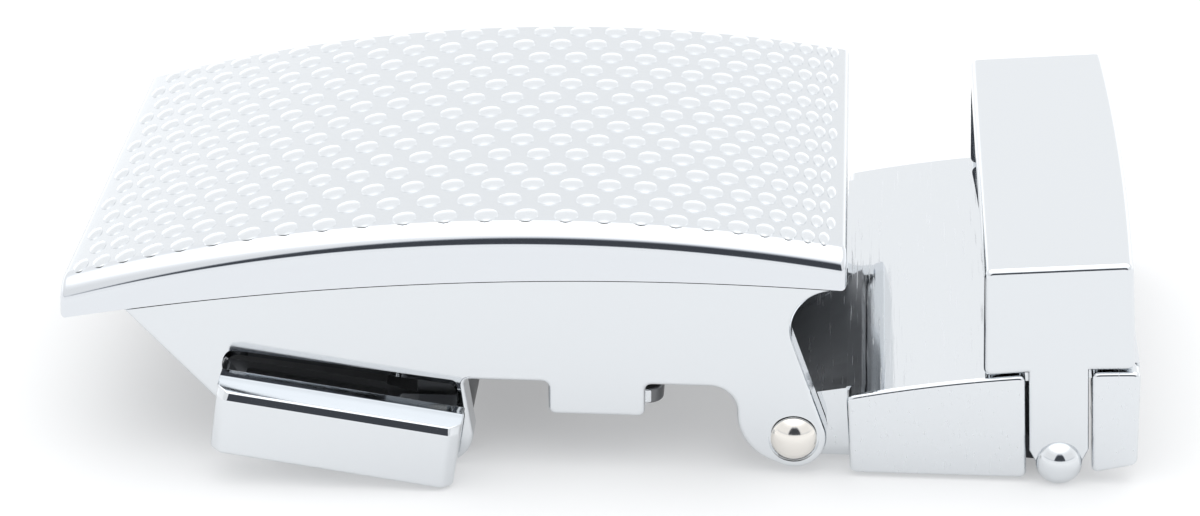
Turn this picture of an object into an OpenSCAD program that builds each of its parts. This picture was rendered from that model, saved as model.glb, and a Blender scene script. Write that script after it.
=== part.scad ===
// Ratchet belt buckle for a 35 mm strap, lying on its back with the patterned face up.
// X runs along the buckle, from the lever end to the strap end. The near side, with the lever's tab, is at -Y.
// The origin is on the surface that the buckle lies on, under the middle of the face plate.

/* [Face plate] */
// Length of the face plate along the strap
plate_l = 56; // [52:0.5:60]
// Width of the face plate across the strap
plate_w = 40.4; // [39.9:0.1:42]
// Height of the crown over the plate's two ends
plate_rise = 3.1; // [2:0.1:4]
// Thickness at the ends
plate_end_t = 2.75; // [2:0.05:3]
// Thickness in the middle
plate_mid_t = 4.15; // [3.5:0.05:4.5]
// Radius of the rounded long edges
plate_edge_r = 1.8; // [1:0.1:2]
// Slope of the plate against the surface, rising to the strap end
plate_slope = 3.9; // [2:0.1:4.5]
// Height of the middle of the plate's chord over the surface
plate_chord_z = 15.72; // [15:0.02:16.4]

/* [Frame] */
// Width over the two cheeks
frame_w = 39.8; // [39:0.1:40.2]
// Thickness of a cheek
cheek_t = 2.1; // [1.6:0.1:2.2]
// Thickness of the web under the face plate
web_t = 1; // [0.8:0.1:1.4]
// Seam between the face plate and the frame
seam = 0.1; // [0.05:0.01:0.2]
// Slope of the cheeks' end under the overhang of the face plate
cheek_end_angle = 47.4; // [44:0.1:50]
// Radius of the foot's corner at that end
foot_end_r = 3; // [2:0.1:3.5]
// Radius of the lobe that the lever pin goes through
lobe_r = 2.5; // [2.3:0.1:2.8]
// Height of the cheek's lower edge over the surface
edge_z = 6.85; // [6.5:0.05:7.2]
// Height of the cross bar's underside over the surface
bar_z = 4.3; // [4:0.1:4.6]
// Thickness of the cross bar
bar_t = 1.2; // [1:0.1:1.5]

/* [Release lever] */
// Length of the tab
tab_l = 17.6; // [16:0.1:18.5]
// Height of the tab
tab_h = 5.3; // [4.2:0.1:5.6]
// Thickness of the tab across the strap
tab_d = 3; // [2.4:0.1:3.6]
// Tilt of the tab, down to the strap end
tab_tilt = 8.4; // [7:0.1:9]
// Radius of the tab's two outer corners
tab_corner_r = 1.3; // [0.8:0.1:1.4]
// Radius of the tab's upper outer edge
tab_edge_r = 1.7; // [0.6:0.1:2]
// Radius of the lever pin
lever_pin_r = 1; // [0.8:0.05:1.1]

/* [Strap clip] */
// Width over the walls of the clip
clip_w = 40; // [39.5:0.1:40.4]
// Thickness of the walls
wall_t = 2; // [1.6:0.1:2.2]
// Thickness of the arched top
top_t = 1.2; // [1:0.1:1.4]
// Width over the two knuckles, which fit between the cheeks
knuckle_w = 35.2; // [34.8:0.1:35.3]
// Radius of the ears and the knuckles
ear_r = 2.35; // [2.2:0.05:2.5]
// Radius of the rivets' shanks
rivet_r = 1.25; // [1:0.05:1.3]
// Radius of the domed heads
head_r = 1.65; // [1.5:0.05:1.8]
// Height of the domed heads
head_h = 1; // [0.8:0.1:1.2]

/* [Keeper loop] */
// Height of the loop's underside over the surface, at its lever end
loop_inner_z = 15; // [14:0.1:15.5]
// Thickness of the band over the strap
loop_t = 1.6; // [1.4:0.1:2]
// Width of the loop's tongues
tongue_l = 4.25; // [4:0.05:4.4]
// Gap round the tongues
tongue_gap = 0.2; // [0.15:0.05:0.3]
// Radius of the loop pin
loop_pin_r = 1; // [0.8:0.05:1.2]

/* [Hidden] */

$fn = 96;
chrome = "#E8ECF0";
steel = "#C9CCD0";
big = 80;
run_fit = 0.06;
press_fit = 0.02;

// The plate's upper and lower faces are arcs over its chord
plate_top_r = (pow(plate_l / 2, 2) + pow(plate_rise, 2)) / (2 * plate_rise);
under_rise = plate_rise - (plate_mid_t - plate_end_t);
plate_under_r = (pow(plate_l / 2, 2) + pow(under_rise, 2)) / (2 * under_rise);

// Its two ends stand nearly upright on the surface and spread a little downwards
plate_mid_x = 0.05;
plate_draft = 1.4;

// Places along X and heights over the surface
cheek_end_x = -24.5;
cheek_end_z = 12.75;
strap_end_x = 27.3;
lobe_x = -1;
lobe_z = lobe_r;
bar_x0 = 6.95;
bar_x1 = 13.9;
bar_lip = 1.2;
ear_x = 24.6;
ear_z = 2.9;
ear_sweep_r = 4.1;
fillet_r = 2;
throat_x = 27.3;
throat_z = 11.5;
throat_r = 3.1;

// The throat's edge runs straight from the ear's circle to the throat's circle, touching both
throat_d = norm([throat_x - ear_x, throat_z - ear_z]);
throat_a = atan2(throat_z - ear_z, throat_x - ear_x) + asin((ear_r + throat_r) / throat_d) - 90;
throat_low = [ear_x + ear_r * cos(throat_a), ear_z + ear_r * sin(throat_a)];
throat_high = [throat_x - throat_r * cos(throat_a), throat_z - throat_r * sin(throat_a)];

// The foot's end corner touches both the surface and the sloping end
foot_end_x = cheek_end_x + (cheek_end_z - foot_end_r) / tan(cheek_end_angle)
    + foot_end_r / sin(cheek_end_angle);

cheek_y = frame_w / 2;
cheek_in_y = cheek_y - cheek_t;
wall_y = clip_w / 2;
wall_in_y = wall_y - wall_t;
knuckle_y = knuckle_w / 2;
knuckle_t = 2;

// The tab's middle and its outer face
tab_x = -8;
tab_z = 4;
tab_y = 24.2;

// The pawl's arm with its teeth, and its barrel
pawl_y = 17.3;
pawl_barrel_r = 2.1;
pawl_low_z = 7;
pawl_top_z = 8.2;
tooth_z = 9.2;

// The clip's top is an arc from the hinge to the strap end
clip_x0 = 28.2;
clip_x1 = 49;
clip_z0 = 6.4;
clip_z1 = 9;
clip_under_z = 0.3;
clip_arc_r = 105;
clip_toe_z = 1.6;
pin_x = 43.6;
pin_z = 1.67;
tongue_lean = 3;
tongue_foot_r = 1.65;

loop_x0 = 37.65;
loop_x1 = 48;
loop_foot_x = 48.8;
loop_slope = 4.5;
loop_seat = 0.15;
loop_bulge = 0.4;

// An outline in the XZ plane becomes a slab from y0 to y1
module slab(y0, y1) {
  translate([0, y1, 0])
    rotate([90, 0, 0])
      linear_extrude(y1 - y0)
        children();
}

// A shaft along Y
module shaft(x, z, r, y0, y1) {
  translate([x, y1, z])
    rotate([90, 0, 0])
      cylinder(r = r, h = y1 - y0);
}

module at(x, z) {
  translate([x, z])
    children();
}

// Places something in the plate's own frame, with its chord along X
module on_chord() {
  translate([0, 0, plate_chord_z])
    rotate([0, -plate_slope, 0])
      children();
}

module on_chord_2d() {
  at(0, plate_chord_z)
    rotate(plate_slope)
      children();
}

// Everything below the plate's underside, less a gap
module below_plate(gap) {
  on_chord_2d()
    at(0, under_rise - plate_end_t - plate_under_r)
      circle(plate_under_r - gap, $fn = 360);
}

// A domed head on a shank, standing along +Z from its seat
module domed_head() {
  dome_r = (head_r * head_r + head_h * head_h) / (2 * head_h);
  rotate_extrude()
    intersection() {
      translate([0, head_h - dome_r])
        circle(dome_r);
      square([head_r, head_h]);
    }
}

module plate_section() {
  half = plate_w / 2;
  inner = plate_top_r - big / 8;
  difference() {
    translate([inner, -half])
      square([plate_top_r - inner, plate_w]);
    for (side = [-1, 1])
      translate([plate_top_r - plate_edge_r, side * (half - plate_edge_r)])
        difference() {
          translate([0, side > 0 ? 0 : -plate_edge_r])
            square(plate_edge_r);
          circle(plate_edge_r);
        }
  }
}

// Side view of the plate's body between its two ends, higher than the plate
module plate_body_2d() {
  half = plate_l / 2;
  reach = 6;
  lean = reach * tan(plate_draft);
  rotate(-plate_slope)
    at(plate_mid_x, 0)
      polygon([[-half - lean, -reach], [half + lean, -reach], [half - lean, reach], [-half + lean, reach]]);
}

module face_plate() {
  color(chrome)
    on_chord()
      intersection() {
        translate([0, 0, plate_rise - plate_top_r])
          rotate([90, 0, 0])
            rotate_extrude($fn = 720)
              plate_section();
        slab(-plate_w / 2, plate_w / 2)
          difference() {
            plate_body_2d();
            at(0, under_rise - plate_end_t - plate_under_r)
              circle(plate_under_r, $fn = 720);
          }
      }
}

// The ear that the hinge rivet goes through, with its sweep up to the lower edge
module ear_2d() {
  at(ear_x, ear_z)
    circle(ear_r);
  intersection() {
    at(ear_x, ear_z + ear_sweep_r - ear_r + 0.15)
      circle(ear_sweep_r);
    at(ear_x - big, 0)
      square(big);
  }
  polygon([[ear_x - 1, ear_z], [ear_x, ear_z], throat_low, throat_high, [ear_x - 1, throat_z]]);
}

// The open throat over the hinge, cut into the strap end of the cheek
module throat_2d() {
  at(throat_x, throat_z)
    circle(throat_r);
  polygon([throat_low, [big, throat_low[1]], [big, throat_z + throat_r], [throat_x, throat_z + throat_r],
           [throat_x, throat_z], throat_high]);
}

// The foot behind the tab: a flat edge on the surface between two round corners
module foot_2d() {
  at(foot_end_x, foot_end_r)
    circle(foot_end_r);
  at(lobe_x, lobe_z)
    circle(lobe_r);
  polygon([[foot_end_x, 0], [lobe_x, 0], [lobe_x + lobe_r, lobe_z], [0.85, edge_z], [cheek_end_x, cheek_end_z],
           [foot_end_x - foot_end_r * sin(cheek_end_angle), foot_end_r * (1 - cos(cheek_end_angle))]]);
}

module bar_tab_2d() {
  corner = 0.5;
  at(bar_x0, bar_z + corner)
    square([bar_x1 - bar_x0, edge_z - bar_z]);
  at(bar_x0 + corner, bar_z)
    square([bar_x1 - bar_x0 - 2 * corner, edge_z - bar_z]);
  for (x = [bar_x0 + corner, bar_x1 - corner])
    at(x, bar_z + corner)
      circle(corner);
}

module cheek_2d() {
  intersection() {
    below_plate(seam);
    difference() {
      union() {
        polygon([[cheek_end_x, cheek_end_z], [-18, edge_z], [strap_end_x, edge_z], [strap_end_x, big / 4],
                 [cheek_end_x, big / 4]]);
        foot_2d();
        bar_tab_2d();
        ear_2d();
        fillet_2d();
      }
      throat_2d();
    }
  }
}

// Rounds the corner between the lower edge and the ear
module fillet_2d() {
  at(20.5 - fillet_r, edge_z - fillet_r)
    difference() {
      square([fillet_r + 0.9, fillet_r + 0.3]);
      circle(fillet_r);
    }
}

// The slot that the lever's neck moves in
module lever_slot_2d() {
  polygon([[-16.1, 8.75], [0.4, 6.8], [0.4, 4.55], [-4.2, 4.55], [-4.55, 3.3], [-13.4, 4.65], [-15.6, 5.7],
           [-16.65, 7.3], [-16.45, 8.1]]);
}

module frame() {
  color(chrome)
    difference() {
      union() {
        for (side = [-1, 1])
          slab(side > 0 ? cheek_in_y : -cheek_y, side > 0 ? cheek_y : -cheek_in_y)
            cheek_2d();
        web();
        cross_bar();
      }
      slab(-cheek_y - 1, -cheek_in_y + 0.2)
        lever_slot_2d();
      shaft(lobe_x, lobe_z, lever_pin_r + press_fit, -big / 2, big / 2);
      shaft(ear_x, ear_z, rivet_r + press_fit, -big / 2, big / 2);
    }
}

// The web joins the cheeks under the face plate
module web() {
  slab(-cheek_in_y - 0.5, cheek_in_y + 0.5)
    intersection() {
      difference() {
        below_plate(seam);
        below_plate(seam + web_t);
      }
      at(-23.3, 9)
        square([strap_end_x - 1 + 23.3, big / 4]);
    }
}

// The bar joins the cheeks under the strap; its strap edge is rounded off beside the cheeks
module cross_bar() {
  lip_y = cheek_in_y - bar_lip;
  translate([0, 0, bar_z])
    linear_extrude(bar_t) {
      translate([bar_x0, -cheek_in_y - 0.5])
        square([bar_x1 - bar_x0, 2 * cheek_in_y + 1]);
      translate([bar_x1 - 1, -lip_y])
        square([bar_lip + 1, 2 * lip_y]);
      for (side = [-1, 1])
        translate([bar_x1, side * lip_y])
          circle(bar_lip);
    }
}

// The tab's plan, from its outer face to its inner one
module tab_plan_2d() {
  half = tab_l / 2;
  translate([-half, -tab_y + tab_corner_r])
    square([tab_l, tab_d - tab_corner_r]);
  translate([-half + tab_corner_r, -tab_y])
    square([tab_l - 2 * tab_corner_r, tab_d]);
  for (x = [-half + tab_corner_r, half - tab_corner_r])
    translate([x, -tab_y + tab_corner_r])
      circle(tab_corner_r);
}

// Its end view, with the upper outer edge rounded
module tab_end_2d() {
  translate([-tab_y, -tab_h / 2])
    square([tab_d, tab_h - tab_edge_r]);
  translate([-tab_y + tab_edge_r, -tab_h / 2])
    square([tab_d - tab_edge_r, tab_h]);
  translate([-tab_y + tab_edge_r, tab_h / 2 - tab_edge_r])
    circle(tab_edge_r);
}

// The tab in its own place, tilted as it lies
module tab() {
  translate([tab_x, 0, tab_z])
    rotate([0, tab_tilt, 0])
      intersection() {
        translate([0, 0, -tab_h / 2])
          linear_extrude(tab_h)
            tab_plan_2d();
        rotate([90, 0, 90])
          linear_extrude(tab_l + 2, center = true)
            tab_end_2d();
      }
}

// The neck goes through the slot in the near cheek, and is longer behind it, where it closes the slot's view
module neck() {
  slab(-21.6, -14.6)
    polygon([[-15.2, 5.8], [-13.2, 4.85], [-5, 3.6], [-5, 5.2], [-15.2, 6.6]]);
  slab(-17.3, -14.6) {
    polygon([[-17.4, 6.1], [-13.2, 4.85], [-5, 3.6], [-5, 5.2], [-15.2, 6.6], [-17.4, 6.9]]);
    polygon([[-6, 3.7], [lobe_x, 0.9], [lobe_x, 4], [-6, 5.3]]);
  }
}

// Barrel round the pin, arm, and the toothed edge that holds the strap
module pawl() {
  slab(-pawl_y, pawl_y) {
    at(lobe_x, lobe_z)
      circle(pawl_barrel_r);
    polygon([[-2.8, lobe_z], [0.7, lobe_z], [0.7, pawl_low_z], [8.4, pawl_low_z], [8.4, tooth_z],
             [7.4, pawl_top_z], [6.9, tooth_z], [5.9, pawl_top_z], [5.4, tooth_z], [4.4, pawl_top_z],
             [-1.2, pawl_top_z], [-2.8, pawl_low_z - 0.4]]);
  }
}

module release_lever() {
  color(chrome)
    difference() {
      union() {
        tab();
        neck();
        pawl();
      }
      shaft(lobe_x, lobe_z, lever_pin_r + run_fit, -18, 18);
    }
}

module lever_pin() {
  color(steel)
    shaft(lobe_x, lobe_z, lever_pin_r, -cheek_y + 0.1, cheek_y - 0.1);
}

// A rivet through the near ear and knuckle; the far one is its mirror image
module hinge_rivet() {
  shaft(ear_x, ear_z, rivet_r, -cheek_y, -knuckle_y + knuckle_t);
  translate([ear_x, -cheek_y, ear_z])
    rotate([90, 0, 0])
      domed_head();
}

module hinge_rivet_near() {
  color(steel)
    hinge_rivet();
}

module hinge_rivet_far() {
  color(steel)
    mirror([0, 1, 0])
      hinge_rivet();
}

// The arc of the clip's top face, from the hinge end to the strap end
module clip_arc_2d(drop) {
  mid_x = (clip_x0 + clip_x1) / 2;
  mid_z = (clip_z0 + clip_z1) / 2;
  half = norm([clip_x1 - clip_x0, clip_z1 - clip_z0]) / 2;
  sag = clip_arc_r - sqrt(clip_arc_r * clip_arc_r - half * half);
  at(mid_x, mid_z)
    rotate(atan2(clip_z1 - clip_z0, clip_x1 - clip_x0))
      at(0, sag - clip_arc_r)
        circle(clip_arc_r - drop, $fn = 360);
}

module wall_2d() {
  intersection() {
    clip_arc_2d(0);
    polygon([[clip_x0 + 0.5, clip_under_z], [pin_x, clip_under_z], [clip_x1 + 0.2, clip_toe_z],
             [clip_x1, clip_z1 + 1], [clip_x0, clip_z0 + 1]]);
  }
}

// A strip from the pin up, as wide as the tongue and leaning with the loop
module tongue_strip_2d(margin, z0, z1) {
  half = tongue_l / 2 + margin;
  at(pin_x, pin_z)
    rotate(tongue_lean)
      at(-half, z0)
        square([2 * half, z1 - z0]);
}

module knuckle_2d() {
  at(ear_x, ear_z)
    circle(ear_r);
  polygon([[ear_x, ear_z - ear_r], [clip_x0 + 2, clip_under_z + 0.25], [clip_x0 + 2, clip_z0],
           [clip_x0, clip_z0 - 0.4], [ear_x - 0.5, ear_z + ear_r - 0.06]]);
}

// The top runs down over the knuckles at the hinge end
module clip_top() {
  slab(-wall_y + 0.5, wall_y - 0.5)
    intersection() {
      difference() {
        clip_arc_2d(0);
        clip_arc_2d(top_t);
      }
      at(clip_x0, 0)
        square([clip_x1 - clip_x0, big / 4]);
    }
  slab(-knuckle_y, knuckle_y)
    polygon([[ear_x - 0.5, ear_z + ear_r - 0.06], [clip_x0, clip_z0 - 0.4], [clip_x0 + 1, clip_z0 + 0.15],
             [clip_x0 + 1, clip_z0 - 1], [ear_x + 0.8, ear_z + ear_r - 1]]);
}

module clip_link() {
  color(chrome)
    difference() {
      union() {
        for (side = [-1, 1]) {
          slab(side > 0 ? wall_in_y : -wall_y, side > 0 ? wall_y : -wall_in_y)
            difference() {
              wall_2d();
              tongue_strip_2d(tongue_gap, -big / 4, big / 4);
            }
          slab(side > 0 ? knuckle_y - knuckle_t : -knuckle_y, side > 0 ? knuckle_y : -knuckle_y + knuckle_t)
            knuckle_2d();
          slab(side > 0 ? knuckle_y - 0.5 : -wall_in_y - 0.5, side > 0 ? wall_in_y + 0.5 : -knuckle_y + 0.5)
            at(clip_x0 + 0.5, clip_under_z + 0.25)
              square([1.5, clip_z0 - 1.2]);
        }
        clip_top();
      }
      shaft(ear_x, ear_z, rivet_r + run_fit, -big / 2, big / 2);
      shaft(pin_x, pin_z, loop_pin_r + 0.2, -big / 2, big / 2);
      for (side = [-1, 1])
        slab(side > 0 ? wall_in_y - 0.2 : -wall_y - 1, side > 0 ? wall_y + 1 : -wall_in_y + 0.2)
          tongue_strip_2d(tongue_gap, -big / 4, big / 4);
    }
}

// Side view of the loop, with its foot on the arch of the clip
module loop_outline_2d() {
  difference() {
    polygon([[loop_x0, clip_z0], [loop_foot_x + loop_bulge, clip_z0],
             [loop_x1 + loop_bulge, loop_top_z(loop_x1 + loop_bulge)], [loop_x0, loop_top_z(loop_x0)]]);
    clip_arc_2d(-loop_seat);
  }
}

function loop_top_z(x) = loop_inner_z + loop_t + (x - loop_x0) * tan(loop_slope);

// The loop's strap end bulges in the middle of its width, and leans as its legs do
module loop_bulge_body() {
  end_r = (wall_y * wall_y + loop_bulge * loop_bulge) / (2 * loop_bulge);
  lean = atan2(loop_foot_x - loop_x1, loop_top_z(loop_x1) - clip_z0);
  translate([loop_x1 + loop_bulge, 0, loop_top_z(loop_x1)])
    rotate([0, -lean, 0])
      translate([-end_r, 0, -big / 2])
        cylinder(r = end_r, h = big, $fn = 720);
}

module tongue_2d() {
  half = tongue_l / 2;
  at(pin_x, pin_z)
    rotate(tongue_lean) {
      circle(tongue_foot_r);
      polygon([[-tongue_foot_r, 0], [tongue_foot_r, 0], [half, 1], [half, 9], [-half, 9], [-half, 1]]);
    }
}

module keeper_loop() {
  leg_t = wall_t - 0.1;
  color(chrome)
    difference() {
      intersection() {
        loop_bulge_body();
        slab(-wall_y, wall_y)
          union() {
            loop_outline_2d();
            tongue_2d();
          }
      }
      slab(-wall_y + leg_t, wall_y - leg_t)
        polygon([[loop_x0 - 5, -5], [loop_foot_x + 5, -5], [loop_foot_x + 5, loop_top_z(loop_foot_x + 5) - loop_t],
                 [loop_x0 - 5, loop_top_z(loop_x0 - 5) - loop_t]]);
      shaft(pin_x, pin_z, loop_pin_r + press_fit, -big / 2, big / 2);
    }
}

module loop_pin() {
  color(steel) {
    shaft(pin_x, pin_z, loop_pin_r, -wall_y - 0.05, wall_y + 0.05);
    for (side = [-1, 1])
      translate([pin_x, side * (wall_y + 0.05), pin_z])
        rotate([-90 * side, 0, 0])
          domed_head();
  }
}

// A plain toothed jaw inside the clip, under the fixed end of the strap
module strap_clamp() {
  jaw_y = wall_in_y - 0.4;
  color(steel)
    difference() {
      slab(-jaw_y, jaw_y)
        polygon([[34, 1.2], [45.2, 0.5], [45.2, 2.9], [38, 2.6], [37.2, 3.4], [36.8, 2.5], [36, 3.4], [35.6, 2.4],
                 [34.8, 3.4], [34, 2.4]]);
      shaft(pin_x, pin_z, loop_pin_r + press_fit, -big / 2, big / 2);
    }
}

face_plate();
frame();
release_lever();
lever_pin();
hinge_rivet_near();
hinge_rivet_far();
clip_link();
keeper_loop();
loop_pin();
strap_clamp();
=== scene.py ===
# The looks of a ratchet belt buckle, laid on a pale surface with its patterned face up.
# Lengths are written in millimetres, as in the part's source, and each finished mesh is brought to metres.
import bpy, bmesh, math
from mathutils import Matrix, Vector


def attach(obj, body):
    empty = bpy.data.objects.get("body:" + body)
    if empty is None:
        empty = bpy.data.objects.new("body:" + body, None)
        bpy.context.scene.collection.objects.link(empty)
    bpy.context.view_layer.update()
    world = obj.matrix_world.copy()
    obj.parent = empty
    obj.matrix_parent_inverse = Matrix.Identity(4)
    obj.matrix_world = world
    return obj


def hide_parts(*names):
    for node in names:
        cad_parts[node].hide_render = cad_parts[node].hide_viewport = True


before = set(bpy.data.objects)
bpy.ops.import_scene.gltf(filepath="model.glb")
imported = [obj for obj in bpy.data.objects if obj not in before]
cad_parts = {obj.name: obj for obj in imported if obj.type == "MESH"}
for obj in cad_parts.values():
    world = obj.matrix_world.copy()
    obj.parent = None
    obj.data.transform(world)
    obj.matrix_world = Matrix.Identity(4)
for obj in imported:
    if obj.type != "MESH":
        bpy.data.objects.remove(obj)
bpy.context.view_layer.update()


# ---- Face plate
# The arched front of the buckle: a zinc alloy die casting, chrome plated, with its long edges rounded over.
# The ground between the beads keeps the mould's satin skin, and the rounded edges are buffed to a mirror.
def surface_colour(code):
    """An sRGB hex colour as linear red, green, blue and alpha."""
    channels = [int(code[i:i + 2], 16) / 255 for i in (1, 3, 5)]
    return [c / 12.92 if c <= 0.04045 else ((c + 0.055) / 1.055) ** 2.4 for c in channels] + [1]


def add_node(tree, kind, settings={}, links={}):
    """Adds a node; links gives each input a socket to come from, or a value."""
    node = tree.nodes.new(kind)
    for name, value in settings.items():
        setattr(node, name, value)
    for name, value in links.items():
        if isinstance(value, bpy.types.NodeSocket):
            tree.links.new(value, node.inputs[name])
        else:
            node.inputs[name].default_value = value
    return node


def metal(name):
    """A new metal material, its node tree and its shader."""
    material = bpy.data.materials.new(name)
    material.use_nodes = True
    shader = material.node_tree.nodes["Principled BSDF"]
    shader.inputs["Metallic"].default_value = 1
    return material, material.node_tree, shader


def noise(tree, place, scale, detail):
    return add_node(tree, "ShaderNodeTexNoise", {}, {"Vector": place, "Scale": scale, "Detail": detail})


def between(tree, pattern, low, high, start=0.3, end=0.7):
    """A pattern's values from start to end, spread out from low to high."""
    return add_node(tree, "ShaderNodeMapRange", {}, {"Value": pattern.outputs[0], "From Min": start, "From Max": end,
                                                     "To Min": low, "To Max": high}).outputs[0]


def mixed(tree, share, kind, a, b):
    """A mix of two values ("FLOAT") or of two colours ("RGBA")."""
    first = {"FLOAT": 2, "RGBA": 6}[kind]
    node = add_node(tree, "ShaderNodeMix", {"data_type": kind}, {0: share, first: a, first + 1: b})
    return node.outputs[{"FLOAT": 0, "RGBA": 2}[kind]]


def roughen(tree, shader, pattern, strength, distance):
    """Lets a pattern tilt the surface a little, as bumps of a height in metres."""
    bump = add_node(tree, "ShaderNodeBump", {}, {"Height": pattern.outputs[0], "Strength": strength,
                                                 "Distance": distance})
    tree.links.new(bump.outputs[0], shader.inputs["Normal"])


def drawn_in(outline, amount):
    """An outline moved inwards, or outwards by an amount below zero, and less where a corner leaves less room."""
    points = [Vector(p) for p in outline]
    n = len(points)
    sides = [points[(i + 1) % n] - points[i] for i in range(n)]
    way = [side.normalized() for side in sides]
    turns_left = sum(points[i - 1].cross(points[i]) for i in range(n)) > 0
    inward = [Vector((-w.y, w.x)) if turns_left else Vector((w.y, -w.x)) for w in way]
    moves = [(inward[i - 1] + inward[i]) / max(1 + inward[i - 1].dot(inward[i]), 0.35) for i in range(n)]
    sign = math.copysign(1, amount)
    room = []
    for i in range(n):
        shrinks = max(sign * moves[i].dot(way[i]), 0) + max(-sign * moves[(i + 1) % n].dot(way[i]), 0)
        room.append(0.9 * sides[i].length / max(shrinks, 0.0001))
    reach = [min(abs(amount), room[i - 1], room[i]) for i in range(n)]
    eased = list(reach)
    for i in range(n):
        for step in (1, -1):
            j, gone = i, 0.0
            while reach[i] < abs(amount):
                gone += sides[j if step > 0 else j - 1].length
                j = (j + step) % n
                if gone > 3 * abs(amount):
                    break
                eased[j] = min(eased[j], reach[i])
    return [tuple(p + move * sign * far) for p, move, far in zip(points, moves, eased)]


def walls(n, rings):
    """The faces between a number of rings of n points each."""
    return [(start + i, start + (i + 1) % n, start + n + (i + 1) % n, start + n + i)
            for start in range(0, (rings - 1) * n, n) for i in range(n)]


def solid(points, faces):
    """A new object with these points and faces, each face turned outwards."""
    mesh = bpy.data.meshes.new("solid")
    mesh.from_pydata(points, [], faces)
    work = bmesh.new()
    work.from_mesh(mesh)
    bmesh.ops.recalc_face_normals(work, faces=work.faces)
    work.to_mesh(mesh)
    work.free()
    piece = bpy.data.objects.new("solid", mesh)
    bpy.context.scene.collection.objects.link(piece)
    return piece


def skin(rings):
    """A closed solid through rings of points, with its first and last ring filled."""
    n = len(rings[0])
    ends = [tuple(range(n)), tuple(range((len(rings) - 1) * n, len(rings) * n))]
    return solid([p for ring in rings for p in ring], ends + walls(n, len(rings)))


def quarter_round(radius, steps=5):
    """Pairs of depth below a face and how far in the outline is drawn there, for an edge that is rounded over."""
    turns = [math.pi / 2 * (1 - i / steps) for i in range(steps + 1)] if radius else [0]
    return [(abs(radius) * (1 - math.sin(a)), radius * (1 - math.cos(a))) for a in turns]


def apply_modifiers(piece):
    """Turns a piece with modifiers into the plain mesh that they give."""
    bpy.context.view_layer.update()
    graph = bpy.context.evaluated_depsgraph_get()
    mesh = bpy.data.meshes.new_from_object(piece.evaluated_get(graph), preserve_all_data_layers=True, depsgraph=graph)
    piece.modifiers.clear()
    piece.data = mesh


def finish_piece(piece, name, body, nodes, finish):
    """Gives a piece its smooth shading, size in metres, finish and place on a body."""
    for face in piece.data.polygons:
        face.use_smooth = True
    piece.data.set_sharp_from_angle(angle=math.radians(38))
    smooth = piece.modifiers.new("flat faces stay flat", "WEIGHTED_NORMAL")
    smooth.weight = 50
    smooth.keep_sharp = True
    apply_modifiers(piece)
    piece.data.transform(Matrix.Scale(0.001, 4))
    piece.name = piece.data.name = name
    piece.data.materials.clear()
    piece.data.materials.append(finish)
    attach(piece, body)
    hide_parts(*nodes)


PLATE_HALF_LENGTH = 28
PLATE_HALF_WIDTH = 20.2
PLATE_RISE = 3.1
PLATE_SHOULDER = 1.8
PLATE_SLOPE = math.radians(3.9)
PLATE_CHORD_HEIGHT = 15.72
PLATE_MIDDLE = 0.05
PLATE_DRAFT = math.tan(math.radians(1.4))
PLATE_END_ROUND = 0.42
UNDER_RISE = 1.7
UNDER_MIDDLE = -1.05
STATIONS = 112


def arch_radius(rise):
    return (PLATE_HALF_LENGTH ** 2 + rise ** 2) / (2 * rise)


def on_chord(x, z):
    """A point of the plate's own frame, its chord level, as it lies on the buckle."""
    return (x * math.cos(PLATE_SLOPE) - z * math.sin(PLATE_SLOPE),
            x * math.sin(PLATE_SLOPE) + z * math.cos(PLATE_SLOPE) + PLATE_CHORD_HEIGHT)


FACE_RADIUS = arch_radius(PLATE_RISE)
FACE_X, FACE_Z = on_chord(0, PLATE_RISE - FACE_RADIUS)
UNDER_RADIUS = arch_radius(UNDER_RISE)
ARCH_X, ARCH_Z = on_chord(0, UNDER_MIDDLE - UNDER_RADIUS)


def end_line(share, z):
    """How far along the plate a cross-section stands at a height; the plate spreads a little downwards."""
    return PLATE_MIDDLE + share * (PLATE_HALF_LENGTH - PLATE_DRAFT * (z - PLATE_CHORD_HEIGHT))


def arch_height(share, x, z, radius):
    height = PLATE_CHORD_HEIGHT
    for again in range(5):
        height = z + math.sqrt(radius ** 2 - (end_line(share, height) - x) ** 2)
    return height


shoulder = [(PLATE_HALF_WIDTH - PLATE_SHOULDER * (1 - math.sin(math.radians(a))),
             PLATE_SHOULDER * (1 - math.cos(math.radians(a)))) for a in range(0, 91, 5)]
section = [(-y, depth) for y, depth in reversed(shoulder)] + shoulder
inner = 1 - PLATE_END_ROUND / PLATE_HALF_LENGTH
stations = [(-1 + d / PLATE_HALF_LENGTH, amount) for d, amount in quarter_round(PLATE_END_ROUND)]
stations += [(inner * (2 * i / STATIONS - 1), 0) for i in range(1, STATIONS)]
stations += [(1 - d / PLATE_HALF_LENGTH, amount) for d, amount in reversed(quarter_round(PLATE_END_ROUND))]
rings = []
for share, amount in stations:
    under = arch_height(share, ARCH_X, ARCH_Z, UNDER_RADIUS)
    ring = [(y, arch_height(share, FACE_X, FACE_Z, FACE_RADIUS - depth)) for y, depth in section]
    ring += [(PLATE_HALF_WIDTH, under), (-PLATE_HALF_WIDTH, under)]
    rings.append([(end_line(share, z), y, z) for y, z in drawn_in(ring, amount)])
face_plate = skin(rings)

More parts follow.
